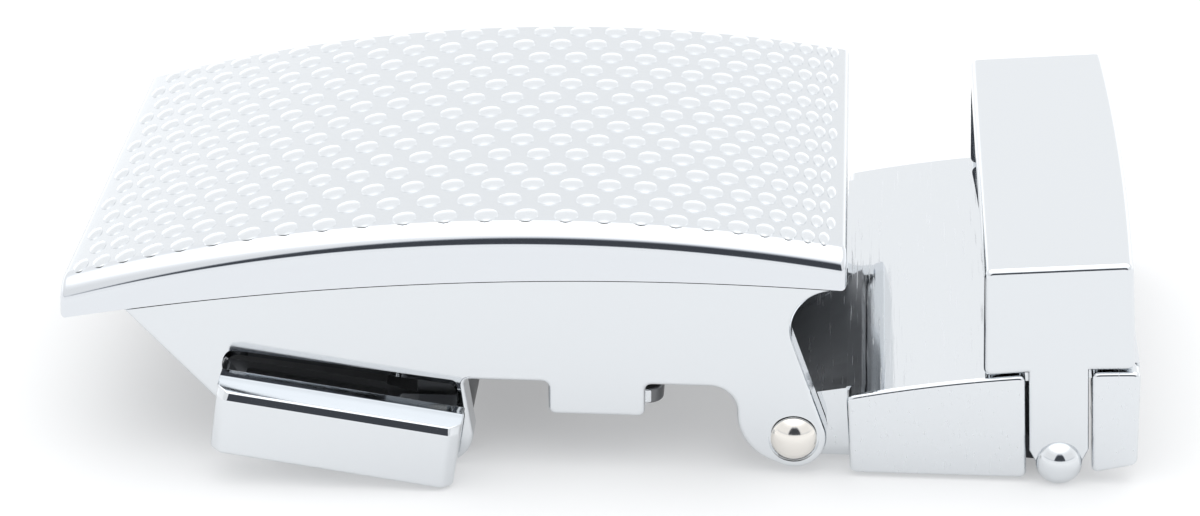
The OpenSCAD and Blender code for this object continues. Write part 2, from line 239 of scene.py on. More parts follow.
# Chrome over a satin die-cast skin: bright and soft between the beads, a clear mirror on the buffed edges.
# The beads catch the polishing wheel first, so they are a little lighter than the ground between them.
# Fine waviness of the polished zinc, a few millimetres long, keeps the reflections from being perfectly even.
BUFFED_FROM = 0.0182
BUFFED_FULLY = 0.0188
WAVE_STRENGTH = 0.05
WAVE_HEIGHT = 0.0001
satin_chrome, tree, shader = metal("chrome plate, satin face with buffed edges")
place = add_node(tree, "ShaderNodeTexCoord").outputs["Object"]
across = add_node(tree, "ShaderNodeSeparateXYZ", {}, {0: place})
side = add_node(tree, "ShaderNodeMath", {"operation": "ABSOLUTE"}, {0: across.outputs["Y"]})
buffed = add_node(tree, "ShaderNodeMapRange", {"interpolation_type": "SMOOTHSTEP"},
                  {"Value": side.outputs[0], "From Min": BUFFED_FROM, "From Max": BUFFED_FULLY}).outputs[0]
grain = noise(tree, place, 2500.0, 3.0)
grain.inputs["Roughness"].default_value = 0.6
satin = between(tree, grain, 0.17, 0.23)
tree.links.new(mixed(tree, buffed, "FLOAT", satin, 0.08), shader.inputs["Roughness"])
tint = mixed(tree, buffed, "RGBA", surface_colour("#D6D9DC"), surface_colour("#DBDEE2"))
bead_share = add_node(tree, "ShaderNodeAttribute", {"attribute_name": "bead"}).outputs["Fac"]
tree.links.new(mixed(tree, bead_share, "RGBA", tint, surface_colour("#DCDFE2")), shader.inputs["Base Color"])
roughen(tree, shader, noise(tree, place, 180.0, 2.0), WAVE_STRENGTH, WAVE_HEIGHT)

# ---- Beads of the face plate
# Low beads cast in one with the plate, in rows across the belt, every other row set half a step along.
# They stand closer and narrower towards both ends. Geometry Nodes sets them out from the values below.
beads = bpy.data.node_groups.new("beads in staggered rows", "GeometryNodeTree")
wanted = {
    "Rows": ("NodeSocketInt", 14),
    "Beads in a row": ("NodeSocketInt", 24),
    "Row spacing": ("NodeSocketFloat", 2.715),
    "Middle of the rows": ("NodeSocketFloat", -0.2),
    "Reach": ("NodeSocketFloat", 29.315),
    "Step angle": ("NodeSocketFloat", math.radians(5.72)),
    "First step": ("NodeSocketFloat", -10.692),
    "Middle along": ("NodeSocketFloat", -1.151),
    "Width share": ("NodeSocketFloat", 0.82),
    "Widest": ("NodeSocketFloat", 1.8),
    "Half depth": ("NodeSocketFloat", 1.07),
    "Height": ("NodeSocketFloat", 0.14),
    "Rim height": ("NodeSocketFloat", 0.03),
    "Face radius": ("NodeSocketFloat", FACE_RADIUS),
    "Rise": ("NodeSocketFloat", PLATE_RISE),
    "Slope": ("NodeSocketFloat", PLATE_SLOPE),
    "Chord height": ("NodeSocketFloat", PLATE_CHORD_HEIGHT),
}
beads.interface.new_socket("Geometry", in_out="INPUT", socket_type="NodeSocketGeometry")
beads.interface.new_socket("Geometry", in_out="OUTPUT", socket_type="NodeSocketGeometry")
given = {name: beads.interface.new_socket(name, in_out="INPUT", socket_type=kind).identifier
         for name, (kind, value) in wanted.items()}
value = beads.nodes.new("NodeGroupInput").outputs


def calculate(operation, a, b=0.0):
    return add_node(beads, "ShaderNodeMath", {"operation": operation}, {0: a, 1: b}).outputs[0]


# Each point's row, and its step along the row
count = calculate("MULTIPLY", value["Rows"], value["Beads in a row"])
index = add_node(beads, "GeometryNodeInputIndex").outputs[0]
row = calculate("FLOOR", calculate("DIVIDE", calculate("ADD", index, 0.5), value["Beads in a row"]))
column = calculate("SUBTRACT", index, calculate("MULTIPLY", row, value["Beads in a row"]))
shift = calculate("MULTIPLY", calculate("MODULO", row, 2.0), 0.5)
step = calculate("ADD", calculate("ADD", column, value["First step"]), shift)
turn = calculate("MULTIPLY", step, value["Step angle"])
along = calculate("ADD", calculate("MULTIPLY", calculate("SINE", turn), value["Reach"]), value["Middle along"])
half_rows = calculate("MULTIPLY", calculate("SUBTRACT", value["Rows"], 1.0), 0.5)
sideways = calculate("ADD", calculate("MULTIPLY", calculate("SUBTRACT", row, half_rows), value["Row spacing"]),
                     value["Middle of the rows"])
squared = calculate("SUBTRACT", calculate("POWER", value["Face radius"], 2.0), calculate("POWER", along, 2.0))
height = calculate("ADD", calculate("SUBTRACT", calculate("SQRT", squared), value["Face radius"]), value["Rise"])
spot = add_node(beads, "ShaderNodeCombineXYZ", {}, {0: along, 1: sideways, 2: height}).outputs[0]
dots = add_node(beads, "GeometryNodePoints", {}, {"Count": count, "Position": spot}).outputs[0]

# One bead: a cone of a few dozen faces, bent to a low dome on a small upright rim that is let into the plate
cone = add_node(beads, "GeometryNodeMeshCone", {"fill_type": "NGON"},
                {"Vertices": 20, "Side Segments": 5, "Radius Top": 0.0, "Radius Bottom": 1.0, "Depth": 1.0})
here = add_node(beads, "GeometryNodeInputPosition").outputs[0]
axes = add_node(beads, "ShaderNodeSeparateXYZ", {}, {0: here}).outputs
reach = calculate("SUBTRACT", 1.0, axes[2])
bent = calculate("SINE", calculate("MULTIPLY", reach, math.pi / 2))
spread = calculate("DIVIDE", bent, calculate("MAXIMUM", reach, 0.001))
dome = calculate("MULTIPLY", calculate("SUBTRACT", 1.0, calculate("MULTIPLY", bent, bent)), value["Height"])
rim = calculate("MULTIPLY", calculate("LESS_THAN", reach, 0.9), calculate("MULTIPLY", value["Rim height"], 2.0))
rise = calculate("ADD", dome, calculate("SUBTRACT", rim, value["Rim height"]))
bead_point = add_node(beads, "ShaderNodeCombineXYZ", {}, {0: calculate("MULTIPLY", axes[0], spread),
                                                         1: calculate("MULTIPLY", axes[1], spread), 2: rise})
bead = add_node(beads, "GeometryNodeSetPosition", {}, {"Geometry": cone.outputs["Mesh"],
                                                       "Position": bead_point.outputs[0]}).outputs[0]
bead = add_node(beads, "GeometryNodeStoreNamedAttribute", {"data_type": "FLOAT", "domain": "POINT"},
                {"Geometry": bead, "Name": "bead", "Value": 1.0}).outputs[0]

# Each bead stands square to the arched face, as wide as its part of the row leaves room for
lean = calculate("ARCSINE", calculate("DIVIDE", along, value["Face radius"]))
tilt = add_node(beads, "ShaderNodeCombineXYZ", {}, {0: 0.0, 1: lean, 2: 0.0}).outputs[0]
pitch = calculate("MULTIPLY", calculate("MULTIPLY", calculate("COSINE", turn), value["Reach"]), value["Step angle"])
width = calculate("MINIMUM", calculate("MULTIPLY", pitch, value["Width share"]), value["Widest"])
half_width = calculate("MULTIPLY", width, 0.5)
size = add_node(beads, "ShaderNodeCombineXYZ", {}, {0: half_width, 1: value["Half depth"], 2: 1.0}).outputs[0]
turned = add_node(beads, "FunctionNodeEulerToRotation", {}, {0: tilt}).outputs[0]
set_out = add_node(beads, "GeometryNodeInstanceOnPoints", {},
                   {"Points": dots, "Instance": bead, "Rotation": turned, "Scale": size}).outputs[0]
lie = add_node(beads, "ShaderNodeCombineXYZ", {}, {1: calculate("MULTIPLY", value["Slope"], -1.0)}).outputs[0]
lift = add_node(beads, "ShaderNodeCombineXYZ", {}, {2: value["Chord height"]}).outputs[0]
lying = add_node(beads, "FunctionNodeEulerToRotation", {}, {0: lie}).outputs[0]
laid = add_node(beads, "GeometryNodeTransform", {}, {"Geometry": set_out, "Translation": lift,
                                                     "Rotation": lying}).outputs[0]
real = add_node(beads, "GeometryNodeRealizeInstances", {}, {0: laid}).outputs[0]
joined = add_node(beads, "GeometryNodeJoinGeometry")
beads.links.new(real, joined.inputs[0])
beads.links.new(value["Geometry"], joined.inputs[0])
painted = add_node(beads, "GeometryNodeSetMaterial", {}, {"Geometry": joined.outputs[0], "Material": satin_chrome})
beads.links.new(painted.outputs[0], beads.nodes.new("NodeGroupOutput").inputs[0])

pattern = face_plate.modifiers.new("beads", "NODES")
pattern.node_group = beads
for name, (kind, amount) in wanted.items():
    pattern[given[name]] = amount
apply_modifiers(face_plate)
finish_piece(face_plate, "face_plate_beaded", "frame", ["face_plate"], satin_chrome)


# ---- Frame
# One casting: two cheeks joined by a web under the face plate and by a cross bar under the strap.
# The near cheek has the slot that the lever's neck works in, and both have an ear for the clip's rivets.
def arc(x, z, radius, start, end, steps):
    """Points of an arc, from one angle to the other, in degrees from the first axis to the second."""
    turn = [math.radians(start + (end - start) * i / steps) for i in range(steps + 1)]
    return [(x + radius * math.cos(a), z + radius * math.sin(a)) for a in turn]


def softened(outline, reach):
    """An outline with each corner rounded over a reach to both sides; its arcs stay as they are."""
    points = [Vector(p) for p in outline]
    n = len(points)
    sides = [(points[(i + 1) % n] - points[i]).length for i in range(n)]
    place = [sum(sides[:i]) for i in range(n)]
    whole = sum(sides)

    def apart(i, j):
        return abs((place[i] - place[j] + whole / 2) % whole - whole / 2)

    def at(distance):
        distance %= whole
        i = max(k for k in range(n) if place[k] <= distance)
        return points[i].lerp(points[(i + 1) % n], (distance - place[i]) / sides[i])

    corners = [i for i in range(n)
               if (points[i] - points[i - 1]).angle(points[(i + 1) % n] - points[i]) > math.radians(25)]
    span = {i: min([reach] + [0.45 * apart(i, j) for j in corners if j != i]) for i in corners}
    result = []
    for i in range(n):
        if i in span:
            a, b = at(place[i] - span[i]), at(place[i] + span[i])
            result += [a.lerp(points[i], t / 6).lerp(points[i].lerp(b, t / 6), t / 6) for t in range(7)]
        elif all(apart(i, j) > span[j] + 0.01 for j in corners):
            result.append(points[i])
    spaced = []
    for p, q in zip(result, result[1:] + result[:1]):
        pieces = math.ceil((q - p).length / 1.5)
        spaced += [tuple(p.lerp(q, k / pieces)) for k in range(pieces)]
    return spaced


def slab(outline, y0, y1, low=0.0, high=0.0):
    """A slab with an outline in the XZ plane, rounded over at the low and at the high end of Y."""
    levels = [(y0 + d, amount) for d, amount in quarter_round(low)]
    levels += [(y1 - d, amount) for d, amount in reversed(quarter_round(high))]
    return skin([[(x, y, z) for x, z in drawn_in(outline, amount)] for y, amount in levels])


def board(plan, z0, z1, low=0.0, high=0.0):
    """A board with a plan in the XY plane, rounded over at its underside and at its top."""
    levels = [(z0 + d, amount) for d, amount in quarter_round(low)]
    levels += [(z1 - d, amount) for d, amount in reversed(quarter_round(high))]
    return skin([[(x, y, z) for x, y in drawn_in(plan, amount)] for z, amount in levels])


def shaft(x, z, radius, y0, y1, steps=64):
    return slab(arc(x, z, radius, 0, 360 - 360 / steps, steps - 1), y0, y1)


def combine(piece, other, how):
    """Joins another solid to a piece, or cuts it out, and removes the other."""
    change = piece.modifiers.new("combine", "BOOLEAN")
    change.operation = how
    change.solver = "EXACT"
    change.object = other
    apply_modifiers(piece)
    bpy.data.objects.remove(other)


CHEEK_OUT = 19.9
CHEEK_IN = 17.8
CHEEK_ROUND = 0.32
LOWER_EDGE = 6.85
SEAM = 0.2
EAR = (24.6, 2.9)
EAR_RADIUS = 2.35
THROAT = (27.3, 11.5)
THROAT_RADIUS = 3.1
THROAT_ANGLE = 19.77
LEVER_PIN = (-1, 2.5)
SLOT_BEVEL = 0.6
SLOT_BEVEL_DEPTH = 0.55
CHEEK_END_ANGLE = 47.4
FOOT_END = (-24.5, 12.75)
FOOT_ROUND = 3
LEVER_PIN_BORE = 1.02
RIVET_BORE = 1.27
RIVET_RECESS = 1.84
DULL_AND_SHADED_INSIDE = 17.75


def under_plate(gap, x0, x1, steps):
    """The line a gap below the plate's underside."""
    xs = [x0 + (x1 - x0) * i / steps for i in range(steps + 1)]
    return [(x, ARCH_Z + math.sqrt((UNDER_RADIUS - gap) ** 2 - (x - ARCH_X) ** 2)) for x in xs]


end_slope = math.tan(math.radians(CHEEK_END_ANGLE))
foot_x = FOOT_END[0] + (FOOT_END[1] - FOOT_ROUND) / end_slope + FOOT_ROUND / math.sin(math.radians(CHEEK_END_ANGLE))
cheek = [(27.3, 17), (FOOT_END[0] - (17 - FOOT_END[1]) / end_slope, 17)]
cheek += arc(foot_x, FOOT_ROUND, FOOT_ROUND, 270 - CHEEK_END_ANGLE, 270, 16)
cheek += arc(*LEVER_PIN, 2.5, 270, 360, 24)
cheek += [(0.85, LOWER_EDGE), (6.95, LOWER_EDGE)]
cheek += arc(7.45, 4.8, 0.5, 180, 270, 6) + arc(13.4, 4.8, 0.5, 270, 360, 6)
cheek += [(13.9, LOWER_EDGE)] + arc(18.5, 4.85, 2, 90, 0, 16)
cheek += arc(24.6, 4.8, 4.1, 182, 252, 20)
cheek += arc(*EAR, EAR_RADIUS, 239.3, 360 + THROAT_ANGLE, 40)
cheek += arc(*THROAT, THROAT_RADIUS, 180 + THROAT_ANGLE, 91, 28)
cheek = softened(cheek, 0.55)
buckle_frame = slab(cheek, -CHEEK_OUT, -CHEEK_IN, CHEEK_ROUND)
combine(buckle_frame, slab(cheek, CHEEK_IN, CHEEK_OUT, 0.0, CHEEK_ROUND), "UNION")
web = under_plate(-0.5, 26.3, -23.3, 60) + under_plate(1.1, -23.3, 26.3, 60)
combine(buckle_frame, slab(web, -CHEEK_IN - 0.5, CHEEK_IN + 0.5), "UNION")
lip = CHEEK_IN - 1.2
bar = [(6.95, -CHEEK_IN - 0.5), (13.9, -CHEEK_IN - 0.5), (13.9, -CHEEK_IN)] + arc(13.9, -lip, 1.2, -80, 0, 10)
bar += arc(13.9, lip, 1.2, 0, 80, 10) + [(13.9, CHEEK_IN), (13.9, CHEEK_IN + 0.5), (6.95, CHEEK_IN + 0.5)]
combine(buckle_frame, board(bar, 4.3, 5.5, 0.2, 0.2), "UNION")
above = under_plate(SEAM, 40, -40, 120) + [(-40, 30), (40, 30)]
combine(buckle_frame, slab(above, -30, 30), "DIFFERENCE")
slot = softened([(-16.1, 8.75), (0.4, 6.8), (0.4, 4.55), (-4.2, 4.55), (-4.55, 3.3), (-13.4, 4.65), (-15.6, 5.7),
                 (-16.65, 7.3), (-16.45, 8.1)], 0.5)


def slot_at(depth):
    """The slot's outline at a depth in the cheek; its upper edge and its ends are bevelled."""
    bevel = min(depth / SLOT_BEVEL_DEPTH, 1)
    points = []
    for x, z in slot:
        upper = max(min((z + 0.118 * x - 4.5) / 2.2, 1), 0) * bevel
        points.append((x - 0.03 * (x + 7.9) * upper, z - SLOT_BEVEL * upper))
    return points


rings = [[(x, depth - CHEEK_OUT, z) for x, z in slot_at(depth)] for depth in (-0.2, SLOT_BEVEL_DEPTH, 2.3)]
combine(buckle_frame, skin(rings), "DIFFERENCE")
combine(buckle_frame, shaft(*LEVER_PIN, LEVER_PIN_BORE, -30, 30), "DIFFERENCE")
combine(buckle_frame, shaft(*EAR, RIVET_BORE, -30, 30), "DIFFERENCE")
for near in (-1, 1):
    combine(buckle_frame, shaft(*EAR, RIVET_RECESS, *sorted((near * 19.55, near * 22))), "DIFFERENCE")


def polished_chrome(name, dull_and_shaded_within):
    """Zinc alloy polished on the wheel and chromed: a cool mirror, slightly soft where the plating follows the
    polish. Nearer to the middle than a distance the wheel doesn't reach, the casting stays dull, and its colour there
    is a dark grey of painted shade for the hollows inside the buckle."""
    chrome, tree, shader = metal(name)
    place = add_node(tree, "ShaderNodeTexCoord").outputs["Object"]
    across = add_node(tree, "ShaderNodeSeparateXYZ", {}, {0: place})
    side = add_node(tree, "ShaderNodeMath", {"operation": "ABSOLUTE"}, {0: across.outputs["Y"]})
    # Within that distance the casting is left dull, and its colour is darkened to paint in the shade of the hollow
    # inside.
    cast = add_node(tree, "ShaderNodeMath", {"operation": "LESS_THAN"}, {0: side.outputs[0], 1: dull_and_shaded_within / 1000})
    cast = cast.outputs[0]
    haze = noise(tree, place, 400.0, 4.0)
    roughness = mixed(tree, cast, "FLOAT", between(tree, haze, 0.06, 0.11), between(tree, haze, 0.38, 0.5))
    tree.links.new(roughness, shader.inputs["Roughness"])
    # Inside, the tint is a dark grey: painted shade for the hollow, laid on the dull as-cast zinc.
    tint = mixed(tree, cast, "RGBA", surface_colour("#DCDFE2"), surface_colour("#77787A"))
    tree.links.new(tint, shader.inputs["Base Color"])
    roughen(tree, shader, noise(tree, place, 150.0, 2.0), WAVE_STRENGTH, WAVE_HEIGHT)
    return chrome


# Inside the cheeks and under the web, the frame is dull, and its colour there is painted shade.
finish_piece(buckle_frame, "buckle_frame", "frame", ["frame"],
             polished_chrome("chrome plate, polished, as cast inside the cheeks", DULL_AND_SHADED_INSIDE))

# ---- Release lever and its pin
# A casting on a steel pin: the tab outside the near cheek, a neck through its slot, and a toothed edge inside.
# Lifting the tab drops the teeth out of the strap's rack. The tab is polished all round.
TAB_HALF_LENGTH = 8.8
TAB_OUT = 24.2
TAB_BACK = 21.2
TAB_HEIGHT = 5.3
TAB_CUT = 0.72
TAB_FOOT_EDGE = 0.35
TAB_MIDDLE = (-8, 0, 4)
TAB_TILT = math.radians(8.4)
LEVER_HALF_WIDTH = 17.3
NECK_FROM = -14.6
# How far below its top the tab's front stands how far out: upright, then a bevel, then a top that falls back
TAB_TOP = ((1.0, 24.2), (0.92, 24.185), (0.48, 23.98), (0.42, 23.9), (0.38, 23.8), (0.27, 23.35), (0.15, 22.88),
           (0.06, 22.5), (0.03, 22.3))


def tab_plan(front):
    """The tab's plan between its back and a front, with the outer corners cut off and their edges eased."""
    cut = max(TAB_CUT + min(0.41 * (TAB_OUT - front), 0.27 - TAB_OUT + front), 0.06)
    marks = [Vector(p) for p in ((-TAB_HALF_LENGTH, -TAB_BACK), (-TAB_HALF_LENGTH, cut - front),
                                 (cut - TAB_HALF_LENGTH, -front), (0, -front))]
    near = []
    for a, b, c in (marks[:3], marks[1:]):
        a = b + (a - b).normalized() * 0.35 * cut
        c = b + (c - b).normalized() * 0.35 * cut
        near += [tuple(a.lerp(b, t / 4).lerp(b.lerp(c, t / 4), t / 4)) for t in range(5)]
    far = [(-x, y) for x, y in reversed(near)]
    return [(-TAB_HALF_LENGTH, -TAB_BACK)] + near + far + [(TAB_HALF_LENGTH, -TAB_BACK)]


levels = [(d - TAB_HEIGHT / 2, TAB_OUT, amount) for d, amount in quarter_round(TAB_FOOT_EDGE)]
levels += [(TAB_HEIGHT / 2 - drop, front, 0.0) for drop, front in TAB_TOP]
levels += [(TAB_HEIGHT / 2, 22.3, 0.1)]
tab = skin([[(x, y, z) for x, y in drawn_in(tab_plan(front), amount)] for z, front, amount in levels])
tab.data.transform(Matrix.Translation(TAB_MIDDLE) @ Matrix.Rotation(TAB_TILT, 4, "Y"))
neck = softened([(-15.2, 5.8), (-13.2, 4.85), (-5, 3.6), (-5, 4.6), (-15.2, 6.0)], 0.2)
neck_end = [(-17.4, 6.1), (-13.2, 4.85), (-5, 3.6), (-5, 5.2), (-15.2, 6.6), (-17.4, 6.9)]
pawl = [(-2.8, 2.5), (0.7, 2.5), (0.7, 7), (8.4, 7), (8.4, 9.2), (7.4, 8.2), (6.9, 9.2), (5.9, 8.2), (5.4, 9.2),
        (4.4, 8.2), (-1.2, 8.2), (-2.8, 6.6)]
lever = slab(pawl, -LEVER_HALF_WIDTH, LEVER_HALF_WIDTH, 0.12, 0.12)
combine(lever, shaft(*LEVER_PIN, 2.1, -LEVER_HALF_WIDTH, LEVER_HALF_WIDTH), "UNION")
combine(lever, slab([(-6, 3.7), (-1, 0.9), (-1, 4), (-6, 5.3)], -LEVER_HALF_WIDTH, NECK_FROM), "UNION")
combine(lever, slab(neck_end, -LEVER_HALF_WIDTH, NECK_FROM), "UNION")
combine(lever, slab(neck, -21.6, NECK_FROM), "UNION")
combine(lever, tab, "UNION")
combine(lever, shaft(*LEVER_PIN, 1.06, -18, 18), "DIFFERENCE")
# Inside the slot the lever is dull, and its colour there is painted shade.
finish_piece(lever, "release_lever_with_tab", "lever", ["release_lever"],
             polished_chrome("chrome plate, polished, as cast inside the slot", 20.4))

# Hardened steel, ground and tumbled: a little warmer and duller than the chrome round it.
polished_steel, tree, shader = metal("steel, ground and tumbled")
shader.inputs["Base Color"].default_value = surface_colour("#EAE6E0")
haze = noise(tree, add_node(tree, "ShaderNodeTexCoord").outputs["Object"], 900.0, 3.0)
tree.links.new(between(tree, haze, 0.08, 0.16), shader.inputs["Roughness"])


def wear(node, finish):
    """Gives a solid that is shown as it is its finish."""
    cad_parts[node].data.materials.clear()
    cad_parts[node].data.materials.append(finish)


wear("lever_pin", polished_steel)


# ---- Hinge rivets
# Two domed steel rivets, one in each ear, carry the clip's knuckles. Each head sits in a shallow ring.
def domed_pin(x, z, shank, head, rise, seat, inner, both_ends=False):
    """A round pin along Y with a domed head at its outer end, on the near side, or at both ends."""
    ball = (head * head + rise * rise) / (2 * rise)
    top = math.degrees(math.asin(head / ball))
    cap = [(ball * math.sin(math.radians(a)), -seat - rise + ball - ball * math.cos(math.radians(a)))
           for a in [top * i / 12 for i in range(13)]]
    line = cap + [(head, -seat + 0.25), (shank, -seat + 0.25)]
    if both_ends:
        line += [(r, -y) for r, y in reversed(line)]
    else:
        line += [(shank, inner), (0, inner)]
    n = 48
    turns = [2 * math.pi * i / n for i in range(n)]
    points = [(x + r * math.cos(a), y, z + r * math.sin(a)) for r, y in line[1:-1] for a in turns]
    last = len(points) - n
    faces = walls(n, len(line) - 2)
    faces += [(i, (i + 1) % n, len(points)) for i in range(n)]
    faces += [(last + i, last + (i + 1) % n, len(points) + 1) for i in range(n)]
    return solid(points + [(x, line[0][1], z), (x, line[-1][1], z)], faces)


near_rivet, far_rivet = (domed_pin(*EAR, 1.25, 1.65, 0.8, 19.95, -15.6) for copy in range(2))
far_rivet.data.transform(Matrix.Scale(-1, 4, (0, 1, 0)))
far_rivet.data.flip_normals()
finish_piece(near_rivet, "hinge_rivet_near_domed", "frame", ["hinge_rivet_near"], polished_steel)
finish_piece(far_rivet, "hinge_rivet_far_domed", "frame", ["hinge_rivet_far"], polished_steel)

# ---- Strap clip
# A channel with an arched top, open at the strap end, that the strap's cut end is clamped in.
# Its two knuckles hang on the rivets, and each wall has a gap for the keeper loop's tongue.
CLIP_OUT = 20
CLIP_IN = 18
CLIP_ROUND = 0.35
KNUCKLE = 17.6
CLIP_ARC = 105
# How far from its two ends the cover over the knuckles is how much lower than in its middle
COVER_CROWN = ((0, 0.62), (0.3, 0.46), (0.7, 0.31), (1.3, 0.16), (2.1, 0.06), (3.3, 0))
CLIP_SAG = 0.524
LOOP_PIN = (43.6, 1.67)
TONGUE_LEAN = math.radians(3)
TONGUE_GAP = 4.25 / 2 + 0.2
clip_middle = (38.6, 7.7)
clip_lean = math.atan2(2.6, 20.8)
clip_centre = (clip_middle[0] + (CLIP_ARC - CLIP_SAG) * math.sin(clip_lean),
               clip_middle[1] - (CLIP_ARC - CLIP_SAG) * math.cos(clip_lean))


def clip_line(drop, x0, x1, steps):
    """The arched top of the clip, or a line below it."""
    xs = [x0 + (x1 - x0) * i / steps for i in range(steps + 1)]
    return [(x, clip_centre[1] + math.sqrt((CLIP_ARC - drop) ** 2 - (x - clip_centre[0]) ** 2)) for x in xs]


def leaning(x, z):
    """A point of the loop's tongue, upright on the loop pin, as it leans."""
    return (LOOP_PIN[0] + x * math.cos(TONGUE_LEAN) - z * math.sin(TONGUE_LEAN),
            LOOP_PIN[1] + x * math.sin(TONGUE_LEAN) + z * math.cos(TONGUE_LEAN))


clip = slab(clip_line(0, 49.02, 28.27, 60) + clip_line(1.2, 28.27, 49.02, 60), -CLIP_IN - 0.3, CLIP_IN + 0.3)
hinge_wall = [(28.7, 0.3), leaning(-TONGUE_GAP, -1.25), leaning(-TONGUE_GAP, 6.6)]
hinge_wall += clip_line(0, leaning(-TONGUE_GAP, 6.9)[0], 28.27, 40)
strap_wall = [leaning(TONGUE_GAP, -0.95), (49.2, 1.6)] + clip_line(0, 49.02, leaning(TONGUE_GAP, 7.0)[0], 16)
strap_wall += [leaning(TONGUE_GAP, 6.6)]
for near in (-1, 1):
    for wall in (hinge_wall, strap_wall):
        ends = (-CLIP_OUT, -CLIP_IN, CLIP_ROUND, 0.0) if near < 0 else (CLIP_IN, CLIP_OUT, 0.0, CLIP_ROUND)
        combine(clip, slab(softened(wall, 0.55), *ends), "UNION")
crown = [(-KNUCKLE + d, drop) for d, drop in COVER_CROWN]
crown += [(-y, drop) for y, drop in reversed(crown)]
cover = []
for y, drop in crown:
    outline = [(24.1, 5.19 - drop / 3), (28.35, 6.38 - drop), (29.4, 6.6 - drop), (29.4, 5.2), (25.4, 4.25)]
    cover.append([(x, y, z) for x, z in outline])
combine(clip, skin(cover), "UNION")
knuckle = arc(*EAR, EAR_RADIUS, 102, 270, 32) + [(30.2, 0.55), (30.2, 6.05), (28.2, 5.95)]
for near in (-1, 1):
    combine(clip, slab(knuckle, *sorted((near * 15.6, near * KNUCKLE))), "UNION")
    block = [(28.7, 0.55), (30.2, 0.55), (30.2, 5.75), (28.7, 5.75)]
    combine(clip, slab(block, *sorted((near * 17.1, near * 18.5))), "UNION")
combine(clip, shaft(*EAR, 1.31, -30, 30), "DIFFERENCE")

# Chrome over zinc that was brushed across with a fine belt, about 240 grit, before plating: soft streaks along
# the width. The real lines are some 0.05 mm apart; they are drawn 0.15 mm apart so that they show. Between the
# lines the plating is nearly a mirror; in a line it is rough, so it shows light where the mirror is dark.
BRUSH_SCALE = (6500.0, 160.0, 1200.0)
brushed_chrome, tree, shader = metal("chrome plate over brushed zinc")
shader.inputs["Base Color"].default_value = surface_colour("#DCDFE2")
place = add_node(tree, "ShaderNodeTexCoord").outputs["Object"]
stretch = add_node(tree, "ShaderNodeMapping", {}, {"Vector": place, "Scale": BRUSH_SCALE}).outputs[0]
lines = noise(tree, stretch, 1.0, 4.0)
tree.links.new(between(tree, lines, 0.03, 0.3, 0.54, 0.68), shader.inputs["Roughness"])
roughen(tree, shader, lines, 0.02, 0.00002)
finish_piece(clip, "strap_clip", "clip", ["clip_link"], brushed_chrome)

# ---- Keeper loop and its pin
# A bent band over the strap's free end. Its legs stand on the clip's walls, and their tongues go down
# through the gaps in the walls to a pin with two domed heads. Its strap edge bulges in the middle.
LOOP_SLOPE = math.tan(math.radians(4.5))
LOOP_START = 37.65
LOOP_BULGE = 0.4
LOOP_ROUND = 0.45
LOOP_LEAN = 0.3
rings = []
ends = quarter_round(LOOP_ROUND)
levels = [(-CLIP_OUT + d, amount) for d, amount in ends] + [(y, 0) for y in range(-18, 19, 2)]
levels += [(CLIP_OUT - d, amount) for d, amount in reversed(ends)]
for y, amount in levels:
    bulge = LOOP_BULGE * (1 - (y / CLIP_OUT) ** 2)
    top = [(LOOP_START, 16.6), (48.0 + bulge, 16.6 + (48.0 + bulge - LOOP_START) * LOOP_SLOPE)]
    outline = softened(top + clip_line(-0.15, 48.62 + bulge, LOOP_START + LOOP_LEAN, 24), 0.65)
    rings.append([(x, y, z) for x, z in drawn_in(outline, amount)])
loop = skin(rings)
tongue = [(-1.65, 0), (-2.125, 1), (-2.125, 9), (2.125, 9), (2.125, 1)] + arc(0, 0, 1.65, 0, -180, 24)[:-1]
tongue = [leaning(x, z) for x, z in tongue]
combine(loop, slab(tongue, -CLIP_OUT, -17, 0.25, 0.0), "UNION")
combine(loop, slab(tongue, 17, CLIP_OUT, 0.0, 0.25), "UNION")
window = [(30, -5), (56, -5), (56, 15 + 18.35 * LOOP_SLOPE), (30, 15 - 7.65 * LOOP_SLOPE)]
combine(loop, slab(window, -18.1, 18.1), "DIFFERENCE")
combine(loop, shaft(*LOOP_PIN, 1.02, -30, 30), "DIFFERENCE")
band_chrome = polished_chrome("chrome plate, polished all round", 0)
finish_piece(loop, "keeper_loop_band", "clip", ["keeper_loop"], band_chrome)
loop_pin = domed_pin(*LOOP_PIN, 1.0, 1.65, 1.0, 20.05, 0, both_ends=True)
finish_piece(loop_pin, "loop_pin_domed", "clip", ["loop_pin"], band_chrome)

# ---- Strap clamp
# The plain toothed jaw that bites the strap's cut end, hidden in the clip: a blacked steel pressing.
blacked_steel, tree, shader = metal("steel, pressed and blacked")
scale = noise(tree, add_node(tree, "ShaderNodeTexCoord").outputs["Object"], 1500.0, 3.0)
oxide = mixed(tree, scale.outputs[0], "RGBA", surface_colour("#2E2F31"), surface_colour("#434447"))
tree.links.new(oxide, shader.inputs["Base Color"])
tree.links.new(between(tree, scale, 0.35, 0.5), shader.inputs["Roughness"])
wear("strap_clamp", blacked_steel)

